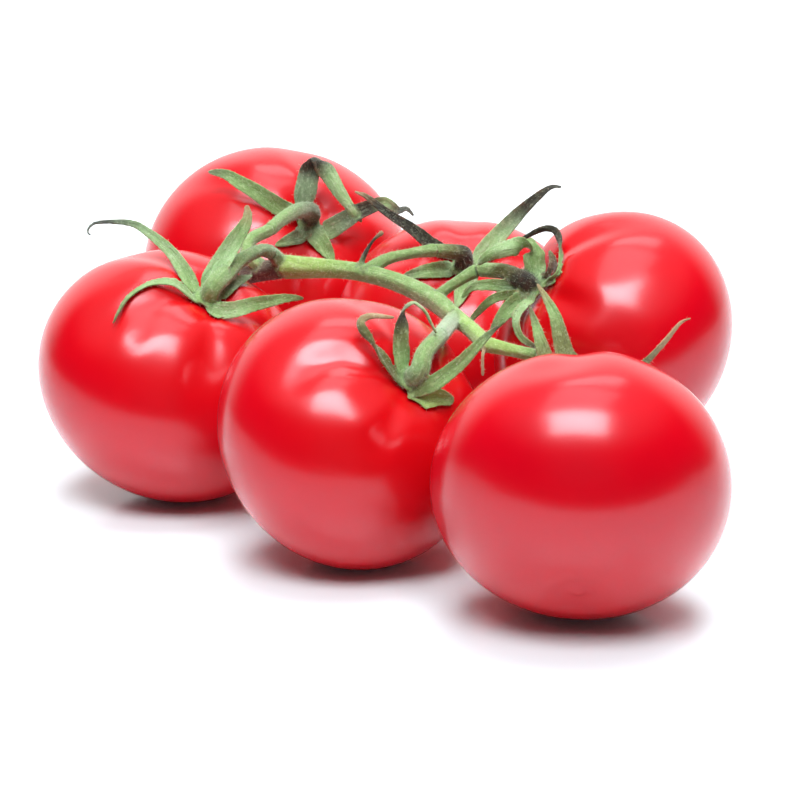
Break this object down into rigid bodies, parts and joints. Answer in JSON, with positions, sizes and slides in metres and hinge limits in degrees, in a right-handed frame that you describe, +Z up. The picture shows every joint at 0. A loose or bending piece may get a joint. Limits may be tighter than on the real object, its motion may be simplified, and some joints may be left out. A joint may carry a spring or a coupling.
{
  "type": "truss of tomatoes",
  "caption": "Truss of ripe round tomatoes lying in two rows, joined by a branched green stem, each with a leafy calyx of narrow curling sepals.",
  "frame": {"origin": "middle of the bounding box, on the surface that the fruits stand on", "axes": "+Z up from the surface, +Y along the truss away from its front, +X across it to the right"},
  "size_m": [0.1687, 0.2405, 0.0733],
  "materials": {
    "flesh": "glossy waxy red skin",
    "calyx": "matt, finely haired leaf green",
    "stem": "matt, finely haired yellow green"
  },
  "bodies": {
    "root": {"tomato_front_left": "flesh", "tomato_front_middle": "flesh", "tomato_front_right": "flesh", "tomato_back_left": "flesh", "tomato_back_middle": "flesh", "tomato_back_right": "flesh", "calyx_front_left": "calyx", "calyx_front_middle": "calyx", "calyx_front_right": "calyx", "calyx_back_left": "calyx", "calyx_back_middle": "calyx", "calyx_back_right": "calyx", "stem": "stem"}
  },
  "joints": []
}
